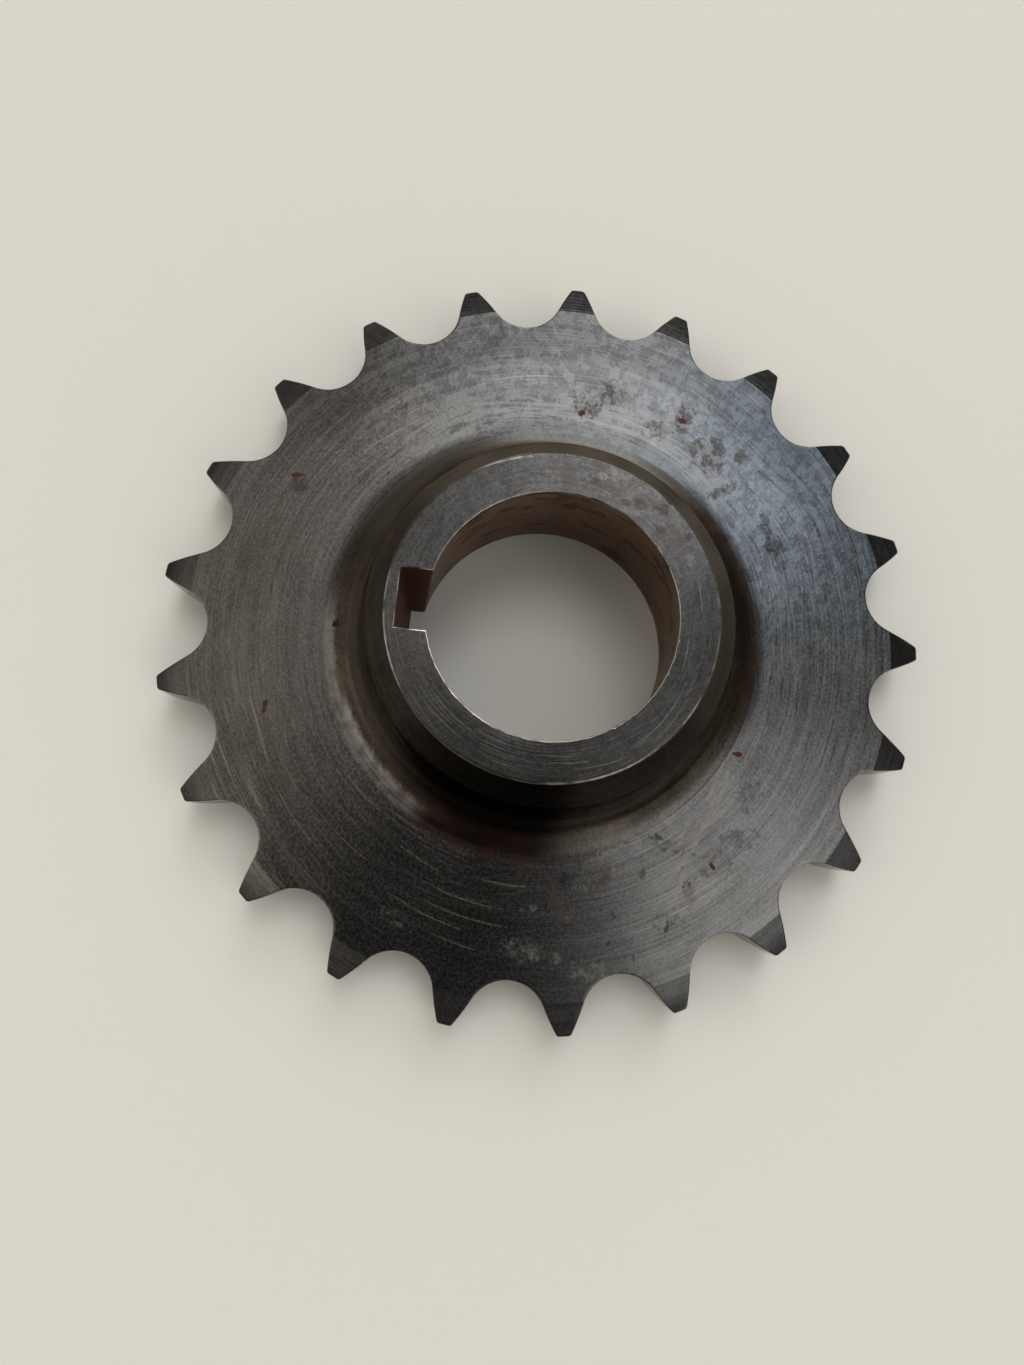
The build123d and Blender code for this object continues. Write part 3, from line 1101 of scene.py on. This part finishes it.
def plate_steel(name, marked):
    """The plate's turned sides, with painted reflections, painted light and painted shade on stretches
    round the bore. marked adds the marks of the side that carries the hub.
    """
    steel = Steel(name, light=(0.135, 0.136, 0.137), dark=(0.037, 0.035, 0.034))
    graph = steel.graph
    curd = steel.blotches(1.2, 0.5, 0.045, 3.0, 4.0)
    grit = steel.blotches(0.34, 0.5, 0.10, 5.0, 1.0)
    cloud = steel.blotches(8.0, 0.5, 0.2, 9.0)
    mottled = steel.sector(340.0, 50.0, 34.0)
    steel.lay_tone((steel.marks["Rings"], 0.26), (grit, 0.22), (cloud, 0.16),
                   (steel.times(curd, graph.blend(mottled, 0.07, 0.32)), 1.0), (steel.grain(), 0.26))
    # Painted reflections: a bluish cast where the plate mirrors a bluish light and a warm cast where it
    # mirrors the warm room; then painted light brightens one stretch and painted shade darkens the outer
    # plate on another
    steel.tint(steel.sector(305.0, 14.0, 26.0), (0.90, 1.0, 1.10))
    steel.tint(steel.sector(90.0, 45.0, 32.0), (1.03, 0.985, 0.935))
    steel.tint(steel.sector(231.0, 18.0, 16.0), (1.28, 1.28, 1.28))
    steel.shade_round((graph.smooth(steel.radius, 32.0, 36.0), (3.0, 42.0, 20.0), 0.68))
    wander = steel.wandering(steel.place, 3.4)
    plate_wear(steel, wander)
    # Painted shade on three stretches round the bore, and painted light on the inner plate on a fourth
    steel.shade_round((WHOLE, (283.0, 24.0, 22.0), 0.84), (WHOLE, (168.0, 14.0, 24.0), 0.58),
                      (WHOLE, (182.0, 10.0, 12.0), 0.78),
                      (graph.fall(steel.radius, 33.0, 36.0), (302.0, 8.0, 16.0), 1.3))
    if marked:
        plate_marks(steel, wander, curd, grit)
        # Darker beside the hub's root on two stretches; a little further out, painted shade tones down a
        # bright band
        beside_root = graph.fall(steel.radius, 24.9, 26.1)
        steel.shade(steel.times(beside_root, steel.most_of([(53.0, 27.0), (288.0, 30.0)], 14.0)), 0.36)
        steel.shade_round((graph.fall(steel.radius, 25.9, 27.1), (352.0, 22.0, 10.0), 0.76))
        rust_oil_and_shade(steel, curd)
        root_edge_highlight(steel)
    steel.darken_tips()
    steel.wear_edges(PLATE_EDGE, 0.35)
    steel.add_bump(steel.times(curd, graph.blend(mottled, 0.10, 1.0)), 0.0030)
    steel.roughness = graph.math("MULTIPLY_ADD", grit, 0.05, steel.roughness)
    return steel.finish(0.09)


def hub_face_steel():
    """The hub's turned face: brown flecks and pale patches, fine scratches, bright worn edges, painted
    shade on two stretches, and a painted highlight on one side of the bore's rim.
    """
    steel = Steel("hub_face_steel", light=(0.087, 0.086, 0.084), dark=(0.027, 0.025, 0.024),
                  pitch=0.12, run=2.2)
    graph = steel.graph
    curd = steel.blotches(1.3, 0.5, 0.08, 2.0, 4.0)
    cloud = steel.blotches(5.0, 0.5, 0.18, 6.0)
    grit = steel.blotches(0.3, 0.5, 0.10, 8.0, 1.0)
    steel.lay_tone((steel.marks["Rings"], 0.22), (curd, 0.14), (cloud, 0.16), (grit, 0.24),
                   (steel.grain(), 0.26))
    # Painted shade on two stretches round the face
    steel.shade_round((WHOLE, (236.0, 45.0, 25.0), 0.68), (WHOLE, (45.0, 20.0, 20.0), 0.76))
    wander = steel.wandering(steel.place, 1.0)
    scratched_side = steel.sector(185.0, 50.0, 25.0)
    rubbed = steel.times(steel.scratches(wander, 0.17, 5.0, 0.6), graph.blend(scratched_side, 0.08, 0.13))
    steel.stain(rubbed, SCRATCHED)
    steel.stain(steel.times(steel.hairlines(wander, 60.0, 6.0, 0.13, 0.4), 0.1), SCRATCHED)
    brown = steel.times(steel.sector(333.0, 26.0, 16.0), steel.blotches(1.3, 0.5, 0.06, 21.0, 5.0))
    steel.stain(steel.times(brown, 0.5), FACE_BROWN)
    steel.stain(steel.times(steel.spots(FACE_PALE, 1.4), graph.blend(grit, 0.25, 0.6)), FACE_CREAM, 0.28)
    steel.stain(steel.times(steel.spots(FACE_STAINS, 2.0), graph.blend(grit, 0.3, 0.75)), FACE_FLECKS, 0.3)
    scratches = steel.arcs(FACE_SCRATCHES, 0.8, steel.wandering(steel.unrolled, 2.0))
    steel.stain(steel.times(scratches, 0.45), CREAM)
    bright = steel.most_of([(104.0, 20.0), (214.0, 30.0), (272.0, 20.0), (22.0, 10.0)], 8.0)
    bore_side = graph.fall(steel.radius, 14.2, 15.0)
    amount = graph.math("MULTIPLY_ADD", bore_side, 0.35, graph.blend(bright, 0.25, 0.62))
    steel.wear_edges(FACE_EDGE, amount)
    # Painted highlight: the bore's worn rim, very bright on the side that catches the light
    steel.wear_edges(BORE_RIM_HIGHLIGHT, 0.72, steel.times(bore_side, steel.sector(118.0, 30.0, 12.0)))
    steel.add_bump(curd, 0.0025)
    return steel.finish(0.09)


def side_films_and_shading(steel, chamfer, root, foot, cloud):
    """Brown and dark films on the hub's wall, old rust in its root, the chamfer greyer on one side,
    painted shade on the foot, wall and chamfer on several stretches, and painted light on one side of the
    chamfer.
    """
    graph = steel.graph
    grey_side = steel.times(chamfer, steel.sector(300.0, 50.0, 40.0), 0.55)
    steel.stain(grey_side, GREY_CHAMFER)
    rust = steel.times(steel.sector(285.0, 24.0, 18.0), root, steel.blotches(2.4, 0.6, 0.16, 12.0), 0.8)
    steel.stain(rust, ROOT_OLD_RUST, 0.45)
    film = steel.times(foot, graph.rest(chamfer), graph.blend(cloud, 0.6, 1.0),
                       graph.blend(steel.marks["Rings"], 0.55, 1.0))
    steel.stain(steel.times(film, steel.sector(96.0, 30.0, 24.0), 0.62), BROWN_FILM, 0.4, 0.5)
    upper = steel.times(film, graph.fall(steel.radius, HUB_R + 1.2, HUB_R + 2.0))
    steel.stain(steel.times(upper, steel.sector(224.0, 24.0, 16.0), 0.7), DARK_FILM, 0.4, 0.5)
    # Painted shade on the foot, the wall and the chamfer, on these stretches
    steel.shade_round(
        (foot, (161.0, 20.0, 16.0), 0.5), (foot, (24.0, 8.0, 16.0), 0.62),
        (steel.between(steel.radius, 21.6, 23.4, 0.5), (217.0, 6.0, 12.0), 0.5),
        (steel.times(graph.rest(root), graph.rest(chamfer)), (350.0, 70.0, 30.0), 0.5),
        (chamfer, (206.0, 26.0, 18.0), 0.55))
    # Painted light on the side of the chamfer that catches the light
    steel.stain(steel.times(chamfer, steel.sector(350.0, 44.0, 30.0), 0.7), CHAMFER_PAINTED_LIGHT)


def root_light_and_shade(steel, root, cloud, grit):
    """The root's foot, where it meets the plate: painted light on several stretches, a patchy painted
    highlight along its outer edge, and painted shade on two stretches.
    """
    graph = steel.graph
    # Painted light on the root's top stretch
    steel.stain(steel.times(root, steel.sector(14.0, 40.0, 22.0), 0.7), ROOT_TOP_LIGHT)
    # Painted highlight along the root's outer edge, patchy
    crisp = graph.smooth(steel.radius, HUB_R + 3.95, HUB_R + 4.45)
    patchy = steel.times(graph.blend(cloud, 0.75, 1.0), graph.blend(grit, 0.7, 1.0))
    steel.stain(steel.times(crisp, steel.sector(358.0, 14.0, 14.0), patchy), ROOT_EDGE_HIGHLIGHT)
    below = graph.fall(steel.radius, HUB_R + 3.6, HUB_R + 4.3)
    # Painted shade on two stretches
    steel.shade_round((crisp, (344.0, 14.0, 12.0), 0.76),
                      (root, (18.0, 14.0, 14.0), graph.blend(below, 0.9, 0.6)))
    # Painted light on three more stretches
    middle = steel.between(steel.radius, 22.4, 24.6, 0.7)
    steel.stain(steel.times(steel.sector(198.0, 6.0, 12.0), middle, patchy, 0.7), ROOT_SIDE_LIGHT)
    soft = steel.times(graph.smooth(steel.radius, HUB_R + 3.1, HUB_R + HUB_ROOT_R), patchy)
    steel.stain(steel.times(soft, steel.sector(216.0, 20.0, 18.0), 0.8), ROOT_GREY_LIGHT)
    steel.stain(steel.times(soft, steel.sector(97.0, 10.0, 16.0), 0.5), ROOT_BUFF_LIGHT)


def hub_side_steel():
    """The chamfer, the hub's wall and its root: dark steel with rust, oil and films, and painted shade and
    painted light on stretches round them.
    """
    steel = Steel("hub_side_steel", light=(0.043, 0.036, 0.029), dark=(0.0101, 0.0078, 0.0062),
                  pitch=0.22, run=2.0)
    graph = steel.graph
    cloud = steel.blotches(4.0, 0.5, 0.18, 4.0)
    grit = steel.blotches(0.45, 0.5, 0.12, 7.0, 1.0)
    steel.lay_tone((steel.marks["Rings"], 0.34), (cloud, 0.24), (grit, 0.24), (steel.grain(), 0.2))
    shoulder = HUB_TOP - HUB_CHAMFER_HEIGHT
    chamfer = graph.smooth(steel.height, shoulder - 0.1, shoulder + 0.1)
    root = graph.smooth(steel.radius, HUB_R + 1.6, HUB_R + 2.7)
    foot = graph.rest(graph.smooth(steel.radius, HUB_R + 1.6, HUB_R + 4.2))
    side_films_and_shading(steel, chamfer, root, foot, cloud)
    root_light_and_shade(steel, root, cloud, grit)
    rust_oil_and_shade(steel, cloud)
    root_edge_highlight(steel)
    steel.stain(steel.spots([ROOT_SPOT_PLACE], 0.8), ROOT_SPOT, 0.5)
    steel.wear_edges(SIDE_EDGE, 0.3)
    steel.add_bump(grit, 0.002)
    return steel.finish(0.09, (0.72, 0.68, 0.64))


def bore_steel():
    """The bore and its keyway: brown oxide with dark streaks, and painted light on one side of the bore.
    """
    steel = Steel("bore_steel", light=(0.132, 0.090, 0.066), dark=(0.040, 0.023, 0.0152),
                  pitch=0.5, run=3.0)
    graph = steel.graph
    steel.roughness = 0.34
    steel.metallic = 0.6
    cloud = steel.blotches(3.5, 0.5, 0.14, 4.0)
    grit = steel.blotches(0.5, 0.5, 0.12, 7.0, 1.0)
    steel.lay_tone((steel.marks["Rings"], 0.26), (cloud, 0.34), (grit, 0.24), (steel.grain(7.0), 0.16))
    squeezed = graph.vector("MULTIPLY", steel.place, (1.0, 1.0, 2.6))
    streaks = steel.blotches(4.2, 0.3, 0.03, 15.0, place=squeezed)
    steel.stain(steel.times(streaks, 0.8), BORE_STREAKS, 0.45)
    bottom_r = BORE_MOUTH_R + BORE_MOUTH_HEIGHT * BORE_TAPER
    bore_r = graph.math("MULTIPLY_ADD", steel.height, -BORE_TAPER, bottom_r)
    # Painted light on the bore's wall on one stretch
    steel.shade_round((WHOLE, (20.0, 36.0, 24.0), 1.4))
    keyway = graph.smooth(graph.math("SUBTRACT", steel.radius, bore_r), 0.02, 0.3)
    steel.stain(steel.times(keyway, 0.85), KEYWAY_OXIDE, 0.55, 0.7)
    steel.wear_edges(BORE_EDGE, 0.5)
    steel.add_bump(grit, 0.003)
    return steel.finish(0.05, (0.80, 0.62, 0.50))


def flank_steel():
    """The cut flanks and seats of the teeth."""
    steel = Steel("flank_steel", light=(0.160, 0.148, 0.132), dark=(0.064, 0.058, 0.050),
                  pitch=0.3, run=12.0)
    cloud = steel.blotches(3.0, 0.5, 0.14, 4.0)
    grit = steel.blotches(0.5, 0.5, 0.12, 7.0, 1.0)
    steel.lay_tone((steel.marks["Rings"], 0.3), (cloud, 0.35), (grit, 0.35))
    steel.stain(steel.times(steel.blotches(2.2, 0.25, 0.05, 14.0), 0.6), FLANK_RUST, 0.4)
    steel.wear_edges(FLANK_EDGE, 0.4)
    steel.add_bump(grit, 0.003)
    return steel.finish(0.04)


def sprocket_materials():
    """One material for each of ZONES, in that order."""
    for make in (make_lathe_marks, make_lathe_scratches, make_hairlines, make_turned_normal, make_blotches,
                 make_unrolled, make_mark, make_sector, make_worn_edge):
        make()
    return [hub_face_steel(), hub_side_steel(), plate_steel("plate_steel", True), flank_steel(),
            plate_steel("back_steel", False), bore_steel()]


# ---- Stage: floor, lights and camera ----

FLOOR_COLOUR = (0.484, 0.480, 0.453)
FLOOR_ROUGHNESS = 0.8
COVE_FLAT_R = 1.1  # metres
COVE_TURN_R = 1.1  # metres
COVE_TURN = 80  # degrees that the cove's wall curves up through
COVE_RINGS = 3
COVE_STEPS = 12
COVE_SIDES = 96
COVE_SINK = 0.01 * MM  # keeps the floor off the sprocket's underside


def make_cove():
    """A pale floor that curves up all round. It casts no shadow, so the studio's light comes in."""
    mesh = bmesh.new()
    profile = [(COVE_FLAT_R * i / COVE_RINGS, 0.0) for i in range(1, COVE_RINGS + 1)]
    for i in range(1, COVE_STEPS + 1):
        turn = math.radians(COVE_TURN * i / COVE_STEPS)
        profile.append((COVE_FLAT_R + COVE_TURN_R * math.sin(turn), COVE_TURN_R * (1 - math.cos(turn))))
    rows = []
    for radius, height in profile:
        turns = [2 * math.pi * k / COVE_SIDES for k in range(COVE_SIDES)]
        rows.append([mesh.verts.new((radius * math.cos(turn), radius * math.sin(turn), height - COVE_SINK))
                     for turn in turns])
    mesh.faces.new(rows[0])
    for row, after in zip(rows, rows[1:]):
        for k in range(COVE_SIDES):
            beside = (k + 1) % COVE_SIDES
            mesh.faces.new((row[k], after[k], after[beside], row[beside]))
    for face in mesh.faces:
        face.smooth = True
    data = bpy.data.meshes.new("pale_cove")
    mesh.to_mesh(data)
    mesh.free()
    cove = bpy.data.objects.new("pale_cove", data)
    bpy.context.scene.collection.objects.link(cove)
    cove.visible_shadow = False
    material, graph = new_material("pale_floor")
    shader = graph.node("ShaderNodeBsdfPrincipled",
                        {"Base Color": opaque(FLOOR_COLOUR), "Roughness": FLOOR_ROUGHNESS})
    graph.node("ShaderNodeOutputMaterial", {"Surface": shader.outputs["BSDF"]})
    data.materials.append(material)


# Soft panels round the studio: azimuth, elevation and spread in degrees, and light
PANELS = [
    (-15.0, 65.0, 7.0, (3.20, 3.24, 3.32)),
    (-30.0, 57.0, 10.0, (1.82, 2.12, 2.52)),
    (-99.0, 68.0, 8.0, (2.66, 2.66, 2.66)),
    (-133.0, 39.0, 18.0, (2.51, 2.48, 2.42)),
    (93.0, 62.0, 14.0, (0.63, 0.58, 0.52)),
    (-7.0, 30.0, 19.0, (1.24, 1.24, 1.24)),
    (90.0, 28.0, 21.0, (2.19, 2.03, 1.80)),
    (-12.0, 37.0, 10.0, (5.6, 5.5, 5.3)),
]
# Dim corners of the studio: azimuth, elevation and spread in degrees, and the share of light they take
CORNERS = [(180.0, 48.0, 20.0, 0.73), (-63.0, 42.0, 22.0, 0.80), (62.0, 34.0, 24.0, 0.56),
           (-62.0, 65.0, 7.0, 0.55), (33.0, 59.0, 10.0, 0.46)]
ROOM_LIGHT = (0.523, 0.482, 0.428)
OVERHEAD_LIGHT = (0.566, 0.522, 0.463)  # what the room's light gains towards straight overhead
OVERHEAD_RISE = 3.0  # the power of the height that this gain follows

# The shade of the camera's stand overhead: its two edges across the view and along it, as slopes
# from upright, how far it fades at them, and the share of the light that it takes
SHADE_ACROSS = (-0.241, 0.126)
SHADE_ALONG = (-0.698, 0.123)
SHADE_SOFT = 0.051
SHADE_SHARE = 0.95
VIEW_RIGHT = -84.1  # azimuth of the view's right-hand side


def aim(azimuth, elevation):
    """Unit vector towards a place in the studio."""
    a, e = math.radians(azimuth), math.radians(elevation)
    return Vector((math.cos(a) * math.cos(e), math.sin(a) * math.cos(e), math.sin(e)))


def lobe(graph, aimed, azimuth, elevation, spread):
    """1 in the middle of a round soft panel, fading away over its spread."""
    near = graph.vector("DOT_PRODUCT", aimed, tuple(aim(azimuth, elevation)))
    falloff = graph.math("DIVIDE", graph.math("SUBTRACT", near, 1.0), math.radians(spread) ** 2)
    return graph.math("EXPONENT", falloff)


def overhead_shade(graph, aimed, above):
    """1 where the camera and its stand hide the studio."""
    mask = 1.0
    for turn, (low, high) in ((VIEW_RIGHT, SHADE_ACROSS), (VIEW_RIGHT + 90, SHADE_ALONG)):
        slope = graph.math("DIVIDE", graph.vector("DOT_PRODUCT", aimed, tuple(aim(turn, 0))), above)
        mask = graph.math("MULTIPLY", mask, graph.smooth(slope, low - SHADE_SOFT, low + SHADE_SOFT))
        mask = graph.math("MULTIPLY", mask, graph.fall(slope, high - SHADE_SOFT, high + SHADE_SOFT))
    return mask


def make_room():
    """The studio round the object: broad soft panels, dim corners, and shade where the camera hangs."""
    world = bpy.data.worlds.new("studio_room")
    world.use_nodes = True
    world.node_tree.nodes.clear()
    graph = Graph(world.node_tree)
    aimed = graph.node("ShaderNodeTexCoord").outputs["Generated"]
    height = graph.parts(aimed)[2]
    overhead = graph.math("POWER", graph.math("MAXIMUM", height, 0.0), OVERHEAD_RISE)
    colour = graph.vector("ADD", ROOM_LIGHT, graph.vector("SCALE", OVERHEAD_LIGHT, overhead))
    for azimuth, elevation, spread, light in PANELS:
        panel = graph.vector("SCALE", light, lobe(graph, aimed, azimuth, elevation, spread))
        colour = graph.vector("ADD", colour, panel)
    for azimuth, elevation, spread, share in CORNERS:
        taken = graph.math("MULTIPLY", lobe(graph, aimed, azimuth, elevation, spread), share)
        colour = graph.vector("SCALE", colour, graph.rest(taken))
    above = graph.math("MAXIMUM", height, 0.001)
    shade = graph.math("MULTIPLY", overhead_shade(graph, aimed, above), SHADE_SHARE)
    colour = graph.vector("SCALE", colour, graph.rest(shade))
    strength = graph.smooth(height, -0.02, 0.0)
    light = graph.node("ShaderNodeBackground", {"Color": colour, "Strength": strength})
    graph.node("ShaderNodeOutputWorld", {"Surface": light.outputs["Background"]})
    bpy.context.scene.world = world


# A soft lamp, high up on the view's far side
LAMP_AZIMUTH = -2.0
LAMP_ELEVATION = 70.0
LAMP_SPREAD = 26.0
LAMP_STRENGTH = 0.72
LAMP_COLOUR = (1.0, 0.985, 0.945)


def make_lamp():
    """A lamp for what is matt, as the floor is. The steel's shine shows the panels instead."""
    data = bpy.data.lights.new("overhead_lamp", "SUN")
    data.energy = LAMP_STRENGTH
    data.angle = math.radians(LAMP_SPREAD)
    data.color = LAMP_COLOUR
    lamp = bpy.data.objects.new("overhead_lamp", data)
    lamp.rotation_euler = aim(LAMP_AZIMUTH, LAMP_ELEVATION).to_track_quat("Z", "Y").to_euler()
    lamp.visible_glossy = False
    bpy.context.scene.collection.objects.link(lamp)


CAMERA_PLACE = (-23.72, 6.645, 117.897)
CAMERA_TURN = (9.106, -2.7903, -84.1)  # degrees
CAMERA_LENS = 25.838
CAMERA_SENSOR = 36.0
CAMERA_CLIP = 5.0


def make_camera():
    data = bpy.data.cameras.new("camera")
    data.lens = CAMERA_LENS
    data.sensor_width = CAMERA_SENSOR
    data.clip_start = CAMERA_CLIP * MM
    camera = bpy.data.objects.new("camera", data)
    camera.location = Vector(CAMERA_PLACE) * MM
    camera.rotation_euler = [math.radians(turn) for turn in CAMERA_TURN]
    bpy.context.scene.collection.objects.link(camera)
    bpy.context.scene.camera = camera


make_camera()
make_room()
make_lamp()
make_cove()

sprocket = build_skin()
for material in sprocket_materials():
    sprocket.data.materials.append(material)
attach(sprocket, "root")
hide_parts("sprocket")

bpy.context.scene.view_settings.view_transform = "Standard"
